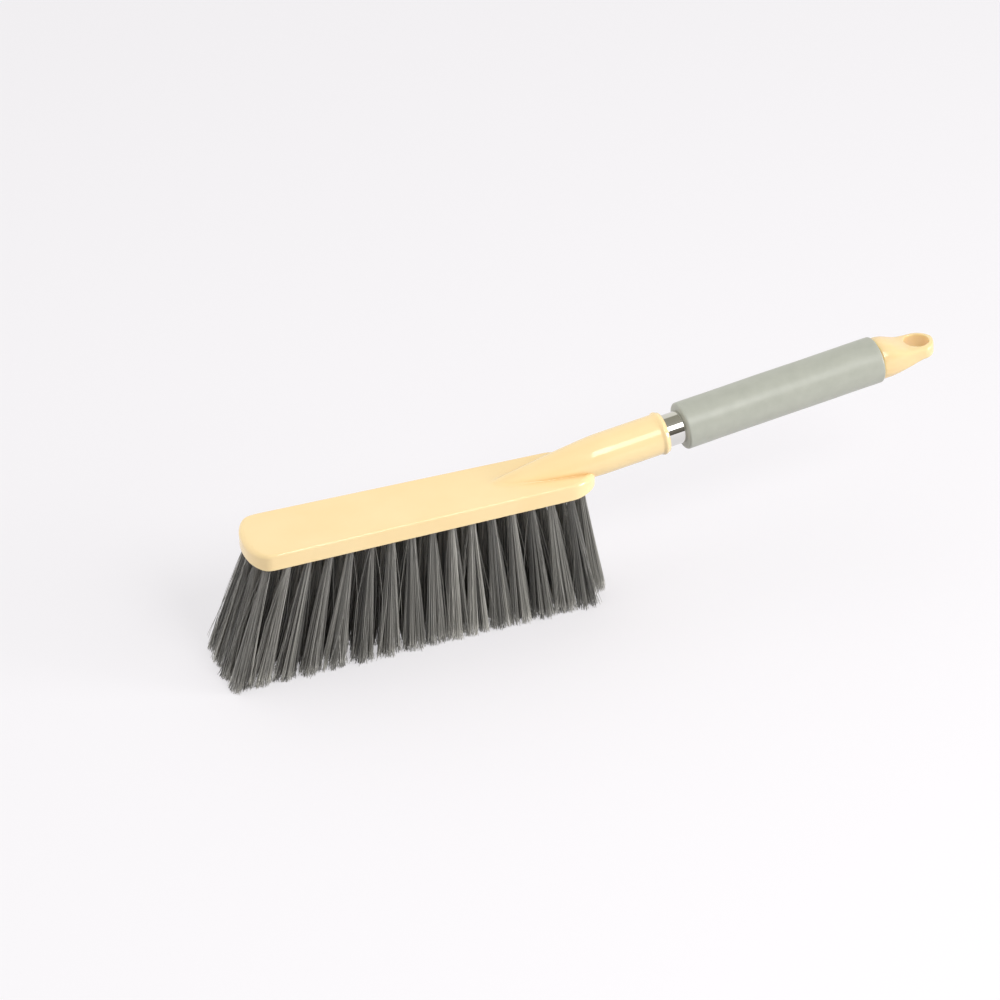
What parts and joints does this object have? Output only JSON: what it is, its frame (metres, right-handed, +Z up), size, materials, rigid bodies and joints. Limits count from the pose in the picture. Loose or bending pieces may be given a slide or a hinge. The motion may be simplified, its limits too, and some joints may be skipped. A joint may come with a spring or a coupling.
{
  "type": "hand brush",
  "caption": "Hand brush with a flat cream block, flared dark bristle tufts and a tilted chromed tube handle with a foam grip and a hanging-eye end cap.",
  "frame": {"origin": "on the floor plane of the bristle tips, under the middle of the whole brush", "axes": "+X along the brush from the front of the block towards the handle, +Y across it, +Z up from the bristle tips"},
  "size_m": [0.4414, 0.053, 0.1248],
  "materials": {
    "cream_plastic": "gloss",
    "bristle": "matte",
    "chromed_tube": "polished",
    "foam": "matte"
  },
  "bodies": {
    "root": {"brush_block": "cream_plastic", "bristle_row_1": "bristle", "bristle_row_2": "bristle", "bristle_row_3": "bristle", "bristle_row_4": "bristle", "handle_tube": "chromed_tube", "foam_grip": "foam", "end_cap": "cream_plastic"}
  },
  "joints": []
}
